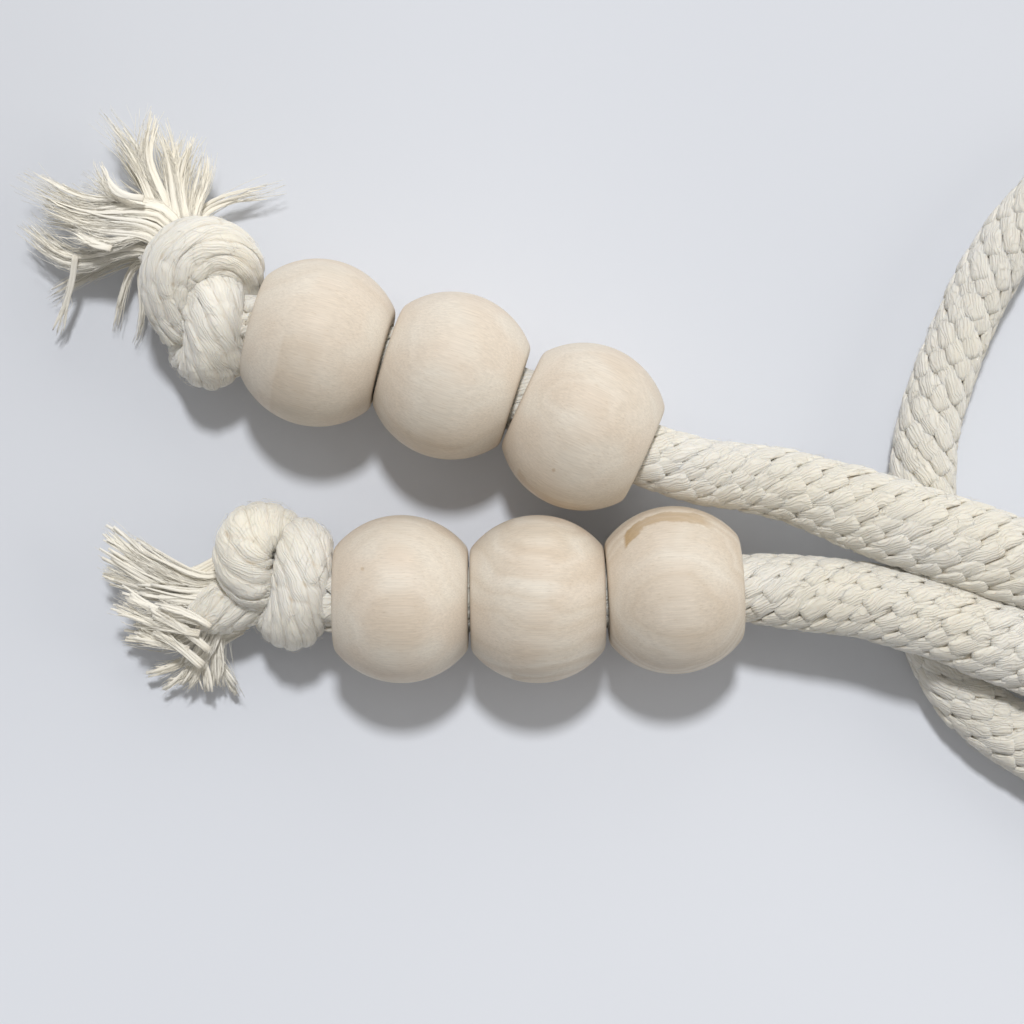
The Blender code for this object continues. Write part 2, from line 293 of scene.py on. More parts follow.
# Yarns and loose fibres of a lock: how many for each yarn of the table, their width, how flat they are, how
# far they stray, where along the lock they end, how much they taper and how suddenly, and how much they roll
RIBBONS_A = {
    "share": 0.95,
    "width": 0.88 * MM,
    "flat": 0.40,
    "steps": 14,
    "sides": 8,
    "sway": 0.6 * MM,
    "ends": (0.72, 1.02),
    "taper": (0.85, 2.2),
    "roll": 0.8,
}
RIBBONS_B = {
    "share": 1.05,
    "width": 0.54 * MM,
    "flat": 0.60,
    "steps": 12,
    "sides": 6,
    "sway": 0.55 * MM,
    "ends": (0.86, 1.00),
    "taper": (0.30, 8.0),
    "roll": 0.7,
}
HAIRS_A = {
    "share": 4.8,
    "width": 0.11 * MM,
    "flat": 0.6,
    "steps": 11,
    "sides": 3,
    "sway": 0.9 * MM,
    "ends": (0.70, 1.06),
    "taper": (0.4, 4.0),
    "roll": 0.5,
}
HAIRS_B = {**HAIRS_A, "share": 3.2, "sway": 0.8 * MM, "ends": (0.75, 1.02)}
# How the yarns of one lock differ from each other. They get painted shade at the root and in the lock's
# middle.
FIBRE_WIND = 0.7
FIBRE_SPLAY = 0.40
FIBRE_WAVES = (0.4, 1.5)
FIBRE_SWING = 0.6
FIBRE_STRAY = 0.8
FIBRE_THICKNESS = (0.75, 1.25)
FIBRE_ROLL = 0.4
ROOT_PAINTED_SHADE = 0.36
ROOT_FADE = 0.9
MIDDLE_PAINTED_SHADE = 0.05

# Locks of yarn: x, y, z of the root and of the tip, the bow to the left and the width in mm, and the yarns
LOCKS_A = [
    (-51.9, 44.5, 10.0, -73.1, 49.7, 8.5, 1.4, 3.2, 20),
    (-53.8, 41.8, 11.0, -70.0, 46.2, 9.0, 0.9, 3.6, 18),
    (-54.5, 41.2, 11.0, -65.5, 41.7, 12.0, 1.4, 1.2, 7),
    (-54.5, 39.4, 9.0, -73.1, 42.9, 6.0, 3.0, 2.6, 16),
    (-54.5, 40.0, 8.0, -72.9, 42.2, 3.0, 4.0, 1.4, 8),
    (-55.1, 45.8, 10.0, -62.0, 51.8, 12.0, 1.4, 1.2, 6),
    (-53.0, 45.5, 9.0, -61.4, 59.2, 8.0, -1.1, 2.4, 14),
    (-51.9, 46.2, 9.0, -54.2, 60.0, 9.0, 1.9, 2.4, 14),
    (-50.0, 45.8, 9.0, -53.4, 57.8, 8.0, -0.5, 2.4, 14),
    (-49.4, 45.5, 8.0, -47.7, 56.0, 8.0, 0.7, 2.2, 12),
    (-48.0, 44.8, 7.0, -46.0, 54.5, 6.0, -0.3, 2.0, 10),
    (-47.0, 44.8, 5.0, -35.4, 49.7, 4.0, 0.8, 1.8, 5),
    (-56.0, 36.7, 5.0, -57.6, 25.6, 1.5, 0.6, 1.6, 8),
    (-56.7, 37.6, 5.0, -60.5, 28.1, 1.5, -0.6, 1.6, 8),
    (-54.5, 44.7, 5.0, -64.6, 50.9, 4.0, 0.4, 2.6, 14),
    (-55.5, 38.7, 4.0, -70.0, 33.1, 2.0, -1.0, 2.2, 12),
    (-52.4, 46.0, 6.0, -59.0, 56.0, 5.0, 0.5, 2.2, 12),
    (-51.2, 45.8, 6.0, -50.7, 56.7, 5.0, 0.6, 2.2, 12),
    (-54.5, 43.2, 6.0, -70.3, 44.7, 5.0, 0.3, 2.8, 16),
]
LOCKS_B = [
    (-50.3, -10.2, 8.0, -61.4, -2.4, 9.0, 0.5, 3.6, 14),
    (-50.8, -11.4, 7.5, -61.9, -6.2, 8.0, 0.6, 2.4, 12),
    (-51.2, -12.0, 7.0, -61.9, -9.3, 7.0, 0.3, 2.2, 12),
    (-50.0, -15.6, 7.0, -56.9, -16.0, 6.0, 0.2, 1.4, 8),
    (-48.7, -18.0, 5.0, -57.4, -17.0, 5.0, 0.2, 1.6, 10),
    (-48.5, -19.8, 4.0, -59.0, -18.5, 4.0, 0.3, 1.8, 10),
    (-48.0, -21.7, 4.0, -56.0, -24.5, 3.5, 0.4, 1.1, 7),
    (-47.2, -22.2, 4.0, -53.5, -26.5, 3.5, 0.4, 0.9, 6),
    (-46.2, -20.8, 6.0, -46.4, -27.4, 4.0, -0.3, 2.0, 12),
    (-45.2, -19.3, 6.0, -41.6, -28.0, 3.0, -0.3, 1.8, 12),
    (-46.8, -21.5, 6.0, -50.0, -26.8, 4.0, 0.3, 1.8, 11),
    (-45.5, -10.6, 9.5, -58.5, -5.0, 8.5, 0.6, 3.6, 14),
    (-45.5, -12.8, 10.0, -56.5, -11.5, 8.0, 0.3, 4.0, 18),
    (-45.0, -14.8, 9.5, -53.5, -19.0, 7.5, 0.5, 4.2, 18),
    (-44.3, -16.3, 8.5, -50.0, -24.0, 5.0, 0.5, 3.6, 16),
    (-43.6, -16.8, 7.0, -45.0, -26.6, 4.0, -0.3, 3.0, 12),
]
# These cross over the others, and both their ends show
CROSSING_A = [
    (-59.6, 39.2, 12.8, -65.3, 41.4, 12.4, 0.2, 0.4, 3),
    (-65.6, 38.6, 9.0, -68.8, 27.4, 3.5, 0.3, 0.5, 3),
    (-54.8, 46.7, 12.8, -61.7, 51.8, 12.4, 1.6, 0.4, 3),
]
CROSSING_B = [
    (-46.0, -16.6, 11.5, -59.2, -12.2, 8.5, 0.5, 1.2, 9),
    (-46.7, -18.2, 11.0, -60.1, -13.9, 8.0, 0.6, 1.2, 9),
    (-44.8, -17.0, 12.2, -53.3, -13.7, 12.0, -0.6, 1.0, 7),
    (-45.3, -20.7, 10.0, -54.5, -14.2, 11.0, -0.4, 1.2, 9),
    (-46.6, -23.2, 8.0, -53.8, -17.8, 9.5, -0.3, 1.2, 8),
    (-48.6, -20.8, 8.5, -57.4, -18.0, 7.5, 0.3, 1.0, 7),
]

# Cotton: cream yarns, with painted shade in warm ochre in the crevices and between the yarns. See
# cotton_material.
CREAM = (0.81, 0.77, 0.67, 1)
CREAM_COOL = (0.80, 0.775, 0.71, 1)
PAINTED_SHADE_OCHRE = (0.52, 0.40, 0.24, 1)
ROPE_COTTON = {"yarn_width": 0.50, "relief": 0.20 * MM, "brightness": 1.05, "contrast": 0.8, "softness": 0.4}
KNOT_COTTON = {"yarn_width": 0.42, "relief": 0.14 * MM, "brightness": 1.08, "contrast": 0.6, "softness": 0.5}
# The yarn cotton is brighter than the rest: painted light, for the light that passes through thin fibres.
YARN_COTTON = {"yarn_width": 0.20, "relief": 0.03 * MM, "brightness": 1.18, "contrast": 0.4, "softness": 0.0}

# Wood: see wood_material
WOOD_LIGHT = (0.755, 0.69, 0.595, 1)
WOOD_PINK = (0.715, 0.615, 0.505, 1)
WOOD_DARK = (0.50, 0.375, 0.245, 1)
WOOD_OCHRE = (0.46, 0.32, 0.17, 1)
BEAD_WOOD = {
    "bead_a1": {
        "seed": 11.0,
        "pith": (20.0, -26.0),
        "banding": 0.20,
        "warmth": 0.65,
        "marks": [(-1, -20.0, 20.0, -4.0, 1.6, 0.14)],
    },
    "bead_a2": {"seed": 23.0, "pith": (-18.0, -30.0), "banding": 0.20, "warmth": 0.65},
    "bead_a3": {
        "seed": 37.0,
        "pith": (-4.0, -34.0),
        "banding": 0.28,
        "warmth": 0.75,
        "marks": [(-1, 2.0, 4.6, -6.0, 6.0, 0.35)],
        "specks": [(-1.4, -7.9)],
    },
    "bead_b1": {
        "seed": 41.0,
        "pith": (8.0, -40.0),
        "banding": 0.22,
        "warmth": 0.8,
        "specks": [(-5.2, 4.7)],
    },
    "bead_b2": {
        "seed": 53.0,
        "pith": (-30.0, -6.0),
        "banding": 0.36,
        "warmth": 0.7,
        "marks": [(-1, 2.0, 5.0, -4.0, 3.5, 0.30)],
    },
    "bead_b3": {
        "seed": 67.0,
        "pith": (4.0, -40.0),
        "banding": 0.55,
        "warmth": 0.5,
        "marks": [(1, 4.4, 7.0, -7.2, 5.6, 0.95)],
    },
}

# Stage. The floor has painted shade round two places, where the light falls off: x, y and reach in mm, and
# how strongly.
FLOOR_HALF = 5.0
FLOOR_PALE = (0.75, 0.775, 0.83, 1)
FLOOR_GREY = (0.71, 0.735, 0.79, 1)
FLOOR_PAINTED_SHADE = (0.20, 0.20, 0.20, 1)
FLOOR_PAINTED_SHADES = [(-110.0, 72.0, 160.0, 0.20), (135.0, 120.0, 170.0, 0.16)]
ROOM_COLOUR = (1.0, 0.98, 0.95, 1)
ROOM_STRENGTH = 0.32
# name: place, diameter, watts, colour
LIGHTS = {
    "key": ((0.00, 1.49, 2.74), 0.38, 62.0, (0.985, 0.99, 1.0)),
    "window": ((0.30, 2.50, 1.20), 1.8, 10.0, (1.0, 0.99, 0.97)),
    "side": ((2.40, 0.20, 1.00), 1.6, 16.0, (1.0, 0.97, 0.90)),
}


# ---------------------------------------------------------------- geometry


def unit(vectors):
    return vectors / np.maximum(np.linalg.norm(vectors, axis=-1, keepdims=True), 1e-12)


def plan(x, y, z):
    """A place of the tables, in mm, as metres in the frame."""
    return VIEW_POINT + np.array((x, y, z)) * MM


def cubic(rows, steps):
    """Dense rows on the natural cubic spline through the given rows, which start with the place."""
    knots = np.array(rows, float)
    chords = np.linalg.norm(np.diff(knots[:, :3], axis=0), axis=1)
    system = np.eye(len(knots))
    pull = np.zeros_like(knots)
    for index in range(1, len(knots) - 1):
        before, after = chords[index - 1 : index + 1]
        system[index, index - 1 : index + 2] = before, 2 * (before + after), after
        slope_in = (knots[index] - knots[index - 1]) / before
        slope_out = (knots[index + 1] - knots[index]) / after
        pull[index] = 6 * (slope_out - slope_in)
    bends = np.linalg.solve(system, pull)
    share = np.arange(steps)[:, None] / steps
    rest = 1 - share
    dense = []
    for index, chord in enumerate(chords):
        stretch = rest * knots[index] + share * knots[index + 1]
        stretch = stretch + (rest**3 - rest) * bends[index] * chord**2 / 6
        dense.append(stretch + (share**3 - share) * bends[index + 1] * chord**2 / 6)
    return np.vstack([*dense, knots[-1:]])


def even_rows(rows, step):
    """Rows a step apart along the curve, and how far along each one is."""
    dense = cubic(rows, SPLINE_STEPS)
    reach = np.concatenate(([0.0], np.cumsum(np.linalg.norm(np.diff(dense[:, :3], axis=0), axis=1))))
    wanted = np.linspace(0, reach[-1], max(2, round(reach[-1] / step)) + 1)
    return np.column_stack([np.interp(wanted, reach, column) for column in dense.T]), wanted


class Tube:
    """A bent tube of elliptical section, which strands and fibres are laid on. A level one isn't rolled."""

    def __init__(self, rows, step, level):
        rows, self.reach = even_rows(rows, step)
        self.length = self.reach[-1]
        self.centre = rows[:, :3]
        self.width, self.height = rows[:, 3], rows[:, 4]
        self.along = unit(np.gradient(self.centre, axis=0))
        if level:
            self.across = unit(np.cross(self.along, UP))
        else:
            self.across = self.carried(unit(np.cross(self.along[0], TUBE_ASIDE)))
        self.over = np.cross(self.across, self.along)

    def carried(self, first):
        """A sideways direction carried along the tube without twist."""
        carried = [first]
        for direction in self.along[1:]:
            side = carried[-1] - direction * np.dot(carried[-1], direction)
            carried.append(side / np.linalg.norm(side))
        return np.array(carried)

    def at(self, values, reach):
        if values.ndim == 1:
            return np.interp(reach, self.reach, values)
        return np.stack([np.interp(reach, self.reach, column) for column in values.T], axis=-1)

    def outward(self, reach, angle):
        across = self.at(self.across, reach) * np.cos(angle)[..., None]
        return unit(across + self.at(self.over, reach) * np.sin(angle)[..., None])

    def place(self, reach, angle, lift):
        """Points at a distance along the tube, an angle round it and a height over its surface."""
        sideways = np.cos(angle) * (self.at(self.width, reach) / 2 + lift)
        upward = np.sin(angle) * (self.at(self.height, reach) / 2 + lift)
        side = self.at(self.across, reach) * sideways[..., None]
        rise = self.at(self.over, reach) * upward[..., None]
        return self.at(self.centre, reach) + side + rise


def new_object(name, vertices, faces, uvs=None, attributes=None, material=None):
    """A mesh piece. uvs and attributes hold one value for each vertex."""
    mesh = bpy.data.meshes.new(name)
    mesh.from_pydata(vertices.tolist(), [], faces)
    corners = np.zeros(len(mesh.loops), np.int32)
    mesh.loops.foreach_get("vertex_index", corners)
    if uvs is not None:
        layer = mesh.uv_layers.new(name="UVMap")
        layer.data.foreach_set("uv", uvs[corners].astype(np.float32).ravel())
    for key, values in (attributes or {}).items():
        layer = mesh.attributes.new(key, "FLOAT", "POINT")
        layer.data.foreach_set("value", values.astype(np.float32))
    mesh.shade_smooth()
    mesh.update()
    if material:
        mesh.materials.append(material)
    obj = bpy.data.objects.new(name, mesh)
    bpy.context.scene.collection.objects.link(obj)
    return obj


def tube_faces(count, rings, sides):
    """Faces of a number of closed tubes whose vertices follow each other."""
    base = np.arange(count)[:, None, None] * rings * sides
    ring = np.arange(rings - 1)[None, :, None] * sides
    side = np.arange(sides)[None, None, :]
    after = (side + 1) % sides
    low = base + ring
    quads = np.stack([low + side, low + after, low + sides + after, low + sides + side], axis=-1)
    faces = quads.reshape(-1, 4).tolist()
    for start in (np.arange(count) * rings * sides).tolist():
        faces.append(list(range(start + sides - 1, start - 1, -1)))
        last = start + (rings - 1) * sides
        faces.append(list(range(last, last + sides)))
    return faces


class Pile:
    """Collects closed tubes that become one piece."""

    def __init__(self):
        self.vertices, self.faces, self.uvs, self.depths, self.total = [], [], [], [], 0

    def add(self, points, uvs, depths):
        """points is tubes x rings x sides x 3, uvs and the painted shade go with it."""
        count, rings, sides = points.shape[:3]
        self.vertices.append(points.reshape(-1, 3))
        self.uvs.append(uvs.reshape(-1, 2))
        self.depths.append(depths.reshape(-1))
        for face in tube_faces(count, rings, sides):
            self.faces.append([corner + self.total for corner in face])
        self.total += count * rings * sides

    def finish(self, name, material):
        vertices = np.vstack(self.vertices)
        vertices[:, 2] = np.maximum(vertices[:, 2], 0)
        uvs = np.vstack(self.uvs)
        depths = {"depth": np.concatenate(self.depths)}
        return new_object(name, vertices, self.faces, uvs, depths, material)


def run_along(lines):
    """How far along its line each point is, in mm. lines is tubes x rings x 3."""
    steps = np.linalg.norm(np.diff(lines, axis=1, prepend=lines[:, :1]), axis=-1)
    return np.cumsum(steps, axis=1) / MM


def sweep(lines, radii, sides, flat=1.0, roll=0.0):
    """Tubes along lines. lines is tubes x rings x 3 and radii tubes x rings. Gives points and their uvs.

    flat is the share of the thickness that is kept, and roll turns the section, for each tube and ring.
    """
    along = unit(np.gradient(lines, axis=1))
    side = unit(np.cross(along[:, 0], FIBRE_ASIDE))
    sides_at = []
    for ring in range(lines.shape[1]):
        side = side - along[:, ring] * np.sum(side * along[:, ring], axis=-1, keepdims=True)
        side = unit(side)
        sides_at.append(side)
    level = np.stack(sides_at, axis=1)
    roll = np.broadcast_to(roll, radii.shape)[..., None]
    across = level * np.cos(roll) + np.cross(level, along) * np.sin(roll)
    over = np.cross(across, along) * flat
    angle = np.arange(sides) * math.tau / sides
    ring = across[:, :, None] * np.cos(angle)[:, None] + over[:, :, None] * np.sin(angle)[:, None]
    points = lines[:, :, None] + ring * radii[:, :, None, None]
    reach = run_along(lines) + RANDOM.uniform(0, PATTERN_SHIFT, (len(lines), 1))
    uvs = np.zeros((*points.shape[:3], 2))
    uvs[..., 0] = reach[:, :, None]
    uvs[..., 1] = (radii / MM)[:, :, None] * np.cos(angle)
    return points, uvs


# ---------------------------------------------------------------- materials


class Nodes:
    """Short ways to add and link shader nodes."""

    def __init__(self, name):
        self.material = bpy.data.materials.new(name)
        self.material.use_nodes = True
        self.tree = self.material.node_tree
        self.shader = self.tree.nodes["Principled BSDF"]

    def add(self, kind, inputs=None, **settings):
        node = self.tree.nodes.new(kind)
        for key, value in settings.items():
            setattr(node, key, value)
        for key, value in (inputs or {}).items():
            self.put(node.inputs[key], value)
        return node

    def put(self, socket, value):
        if isinstance(value, bpy.types.NodeSocket):
            self.tree.links.new(value, socket)
        else:
            socket.default_value = value

    def math(self, operation, first, second=0.0):
        node = self.add("ShaderNodeMath", operation=operation)
        self.put(node.inputs[0], first)
        self.put(node.inputs[1], second)
        return node.outputs[0]

    def times(self, first, second):
        return self.math("MULTIPLY", first, second)

    def plus(self, first, second):
        return self.math("ADD", first, second)

    def less(self, first, second):
        return self.math("SUBTRACT", first, second)

    def xyz(self, x=0.0, y=0.0, z=0.0):
        return self.add("ShaderNodeCombineXYZ", {"X": x, "Y": y, "Z": z}).outputs[0]

    def length(self, vector):
        return self.add("ShaderNodeVectorMath", {0: vector}, operation="LENGTH").outputs["Value"]

    def shaded(self, colour, shade):
        """A colour made darker or lighter by a number."""
        return self.mix(1.0, colour, self.xyz(shade, shade, shade), "MULTIPLY")

    def mix(self, share, first, second, blend="MIX"):
        node = self.add("ShaderNodeMix", data_type="RGBA", blend_type=blend)
        self.put(node.inputs["Factor"], share)
        self.put(node.inputs["A"], first)
        self.put(node.inputs["B"], second)
        return node.outputs["Result"]

    def spread(self, value, low, high, to_low=0.0, to_high=1.0):
        """Maps low to to_low and high to to_high, and stops there."""
        ends = {"Value": value, "From Min": low, "From Max": high, "To Min": to_low, "To Max": to_high}
        return self.add("ShaderNodeMapRange", ends).outputs[0]

    def smooth(self, value, low, high, to_low, to_high):
        share = self.spread(value, low, high)
        share.node.interpolation_type = "SMOOTHSTEP"
        return self.spread(share, 0.0, 1.0, to_low, to_high)

    def noise(self, vector, scale=1.0, detail=2.0, roughness=0.5):
        looks = {"Vector": vector, "Scale": scale, "Detail": detail, "Roughness": roughness}
        return self.add("ShaderNodeTexNoise", looks).outputs[0]

    def finish(self, colour, height, relief, values):
        """Sets the colour, the bumps and the plain values of the shader's own sockets."""
        self.put(self.shader.inputs["Base Color"], colour)
        if height is not None:
            bumps = self.add("ShaderNodeBump", {"Height": height, "Distance": relief, "Strength": 1.0})
            self.put(self.shader.inputs["Normal"], bumps.outputs[0])
        for key, value in values.items():
            self.shader.inputs[key].default_value = value
        return self.material


def cotton_material(name, yarn_width, relief, brightness, contrast, softness):
    """Cotton yarns side by side along a strand: u runs along it and v across it, both in mm."""
    nodes = Nodes(name)
    uv = nodes.add("ShaderNodeUVMap", uv_map="UVMap").outputs[0]
    along, across, _ = nodes.add("ShaderNodeSeparateXYZ", {"Vector": uv}).outputs

    def stretched(lengthwise, sideways):
        return nodes.xyz(nodes.times(along, lengthwise), nodes.times(across, sideways))

    waver = nodes.spread(nodes.noise(stretched(0.30, 0.5), detail=1.0), 0.3, 0.7, -0.5, 0.5)
    phase = nodes.times(nodes.plus(across, waver), math.pi / yarn_width)
    yarn = nodes.math("POWER", nodes.math("ABSOLUTE", nodes.math("SINE", phase)), 0.7)
    coarse = nodes.noise(stretched(0.22, 2.6), roughness=0.6)
    fine = nodes.noise(stretched(0.5, 11.0), detail=3.0, roughness=0.65)
    height = nodes.plus(nodes.times(yarn, 0.50), nodes.times(coarse, 0.9))
    height = nodes.plus(height, nodes.times(fine, 0.5))

    # Painted shade: the deeper a point lies in the cotton, and the further it is from a yarn's crest, the
    # more it turns warm ochre.
    depth = nodes.add("ShaderNodeAttribute", attribute_name="depth").outputs["Fac"]
    place = nodes.add("ShaderNodeTexCoord").outputs["Object"]
    tone = nodes.mix(nodes.spread(nodes.noise(place, 70.0), 0.35, 0.65), CREAM, CREAM_COOL)
    painted_groove_shade = nodes.times(nodes.less(1.0, yarn), 0.10)
    painted_crevice_shade = nodes.plus(nodes.spread(depth, 0.20, 1.0, 0.0, 0.85), painted_groove_shade)
    tone = nodes.mix(painted_crevice_shade, tone, PAINTED_SHADE_OCHRE)
    darkest = brightness * (1 - 0.12 * contrast)
    lightest = brightness * (1 + 0.07 * contrast)
    streak = nodes.spread(nodes.plus(fine, coarse), 0.7, 1.3, darkest, lightest)
    values = {
        "Roughness": 0.95,
        "Specular IOR Level": 0.15,
        "Subsurface Weight": softness,
        "Subsurface Radius": (1.0, 0.9, 0.75),
        "Subsurface Scale": 0.3 * MM,
        "Sheen Weight": 0.5,
        "Sheen Roughness": 0.5,
    }
    return nodes.finish(nodes.shaded(tone, streak), height, relief, values)


# ---------------------------------------------------------------- rope


def heading(degrees):
    return np.array((math.cos(math.radians(degrees)), math.sin(math.radians(degrees)), 0.0))


def bead_centre(name):
    x, y, _ = BEADS[name]
    return plan(x, y, BEAD_HEIGHT / MM)


def bead_rows(names):
    """The rope's rows through a row of beads, from its knot to the last bead."""
    first = names[0]
    places = [bead_centre(first) - heading(BEADS[first][2]) * ROPE_END_REACH]
    for name in names:
        for reach in (-BORE_POINT_REACH, BORE_POINT_REACH):
            places.append(bead_centre(name) + heading(BEADS[name][2]) * reach)
    return [(*place, ROPE_IN_BORE, ROPE_IN_BORE) for place in places]


def rope_rows():
    between = [(*plan(x, y, z), width * MM, height * MM) for x, y, z, width, height in ROUTE]
    row_a = bead_rows(["bead_a1", "bead_a2", "bead_a3"])
    row_b = bead_rows(["bead_b1", "bead_b2", "bead_b3"])
    return row_a + between + row_b[::-1]


def add_stitches(pile, tube, look, chosen):
    """Lays the chosen columns of stitches on a tube. All lean the same way, each column half a pitch on."""
    part, wide_share, thick_share, deep_share = STITCH_PROFILE.T
    section_wide, section_tall = STITCH_SECTION.T
    for column in chosen:
        first = look["pitch"] * (0.25 + 0.5 * (column % 2))
        starts = np.arange(first, tube.length - look["half_reach"] * 0.6, look["pitch"])
        count = len(starts)
        starts = starts + RANDOM.normal(0, look["jitter"], count)
        lean = look["half_swing"] * RANDOM.uniform(*STITCH_LEAN, (count, 1))
        reach = np.clip(starts[:, None] + part * look["half_reach"], 0, tube.length)
        tilt = RANDOM.normal(0, STITCH_TILT, (count, 1))
        angle = math.tau * (column + 0.5) / look["columns"] + part * lean + tilt
        fatness = RANDOM.uniform(*STITCH_FATNESS, (count, 1))
        half_width = look["width"] / 2 * wide_share * fatness
        half_thick = look["thick"] / 2 * thick_share * fatness
        uneven = RANDOM.normal(0, look["uneven"], (count, 1))
        lift = look["bulge"] - look["thick"] / 2 - look["dip"] * deep_share + uneven
        centre = tube.place(reach, angle, lift)
        along = unit(np.gradient(centre, axis=1))
        side = unit(np.cross(along, tube.outward(reach, angle)))
        normal = np.cross(side, along)
        wide = side[:, :, None] * (section_wide * half_width[..., None])[..., None]
        tall = normal[:, :, None] * (section_tall * half_thick[..., None])[..., None]
        points = centre[:, :, None] + wide + tall
        u = run_along(centre)[..., None] + RANDOM.uniform(0, PATTERN_SHIFT, (count, 1, 1))
        v = section_wide * half_width[..., None] / MM
        v = v + RANDOM.uniform(0, PATTERN_SIDE_SHIFT, (count, 1, 1))
        uvs = np.stack(np.broadcast_arrays(u, v), axis=-1)
        # Painted shade: the deeper a point of a stitch lies, the more shade it gets, in full at DEEPEST below
        # the surface.
        top = lift[..., None] + section_tall * half_thick[..., None]
        pile.add(points, uvs, np.clip(-top / DEEPEST, 0, 1))


def add_core(pile, tube):
    """The plain inside of a rope, which shows only in its crevices, coloured with painted shade in dark tan.
    """
    rings = max(3, round(tube.length / CORE_STEP)) + 1
    reach = np.linspace(0, tube.length, rings)[None, :, None]
    angle = np.arange(CORE_SIDES) * math.tau / CORE_SIDES
    reach, angle = np.broadcast_arrays(reach, angle)
    points = tube.place(reach, angle, -CORE_DEPTH)
    uvs = np.stack([reach / MM, angle * ROPE_DIAMETER / 2 / MM], axis=-1)
    pile.add(points, uvs, np.full(reach.shape, CORE_SHADE))


def away_from_beads(points):
    """Which of the points are clear of every bead, so that no fibre grows on wood."""
    clear = np.ones(len(points), bool)
    for name in BEADS:
        clear &= np.linalg.norm(points - bead_centre(name), axis=-1) > FUZZ_CLEAR_OF_BEADS
    return clear


def add_fuzz(pile, tube, count, lengths):
    """Loose ends of fibre that stand off the cotton and curl back to it."""
    share = np.linspace(0, 1, FUZZ_STEPS)
    start = RANDOM.uniform(0, tube.length, (count, 1))
    angle = RANDOM.uniform(0, math.tau, (count, 1))
    clear = away_from_beads(tube.place(start, angle, np.zeros_like(start))[:, 0])
    start, angle = start[clear], angle[clear]
    count = len(start)
    size = RANDOM.uniform(*lengths, (count, 1)) * MM
    way = RANDOM.uniform(0, math.tau, (count, 1)) + share * RANDOM.normal(0, FUZZ_WANDER, (count, 1))
    reach = np.clip(start + size * share * np.cos(way), 0, tube.length)
    swing = angle + size * share * np.sin(way) / (ROPE_DIAMETER / 2)
    peak = RANDOM.uniform(*FUZZ_HEIGHTS, (count, 1)) * FUZZ_RISE
    curl = RANDOM.uniform(*FUZZ_CURL, (count, 1))
    lift = -FUZZ_ROOT + (peak + FUZZ_ROOT) * np.sin(math.pi * share * curl)
    lines = tube.place(reach, swing, lift)
    radii = np.broadcast_to(RANDOM.uniform(*FUZZ_RADIUS, (count, 1)) * MM, reach.shape)
    points, uvs = sweep(lines, radii, FUZZ_SIDES)
    pile.add(points, uvs, np.zeros(points.shape[:3]))


def add_rope(cotton):
    """The braid is two pieces, each with every other column of stitches, and the fuzz is a third."""
    tube = Tube(rope_rows(), ROPE_STEP, True)
    columns = ROPE_LOOK["columns"]
    even = Pile()
    add_core(even, tube)
    add_stitches(even, tube, ROPE_LOOK, range(0, columns, 2))
    odd = Pile()
    add_stitches(odd, tube, ROPE_LOOK, range(1, columns, 2))
    fuzz = Pile()
    add_fuzz(fuzz, tube, **ROPE_FUZZ)
    rope = even.finish("rope_braid", cotton)
    partner = odd.finish("rope_braid_between", cotton)
    loose = fuzz.finish("rope_fuzz", cotton)
    for piece in (rope, partner, loose):
        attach(piece, "root")
    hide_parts("rope")


# ---------------------------------------------------------------- beads


def bead_outline():
    """The closed outline of half a bead's section, as (along, radius) in metres."""
    ball, half, bore = BEAD_DIAMETER / 2, BEAD_LENGTH / 2, BEAD_BORE / 2
    hub = half - BEAD_EDGE
    hub_radius = math.sqrt((ball - BEAD_EDGE) ** 2 - hub**2)
    shoulder = math.atan2(hub_radius, hub)
    side = [(share * (half - BORE_EDGE), bore) for share in BORE_PLACES]
    for step in range(BORE_EDGE_STEPS + 1):
        angle = math.pi / 2 * step / BORE_EDGE_STEPS
        along = half - BORE_EDGE + BORE_EDGE * math.sin(angle)
        side.append((along, bore + BORE_EDGE - BORE_EDGE * math.cos(angle)))
    side.append((half, (bore + BORE_EDGE + hub_radius) / 2))
    for step in range(BEAD_EDGE_STEPS + 1):
        angle = shoulder * step / BEAD_EDGE_STEPS
        side.append((hub + BEAD_EDGE * math.cos(angle), hub_radius + BEAD_EDGE * math.sin(angle)))
    for step in range(1, BEAD_ARC_STEPS + 1):
        angle = shoulder + (math.pi / 2 - shoulder) * step / BEAD_ARC_STEPS
        side.append((ball * math.cos(angle), ball * math.sin(angle)))
    return side + [(-along, radius) for along, radius in side[-2:0:-1]]


def add_bead(name, material):
    """A turned bead, with the small flat spot that it lies on."""
    outline = np.array(bead_outline())
    angle = np.arange(BEAD_SIDES) * math.tau / BEAD_SIDES
    points = np.zeros((len(outline), BEAD_SIDES, 3))
    points[..., 0] = outline[:, :1]
    points[..., 1] = outline[:, 1:] * np.cos(angle)
    points[..., 2] = np.maximum(outline[:, 1:] * np.sin(angle), -BEAD_HEIGHT)
    ring = np.arange(len(outline))[:, None] * BEAD_SIDES
    next_ring = np.roll(ring, -1, axis=0)
    side = np.arange(BEAD_SIDES)
    next_side = np.roll(side, -1)
    corners = [ring + side, ring + next_side, next_ring + next_side, next_ring + side]
    faces = np.stack(corners, axis=-1).reshape(-1, 4).tolist()
    bead = new_object(f"{name}_turned", points.reshape(-1, 3), faces, material=material)
    bead.location = bead_centre(name)
    bead.rotation_euler = (0, 0, math.radians(BEADS[name][2]))
    bpy.context.view_layer.update()
    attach(bead, "root")
    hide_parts(name)


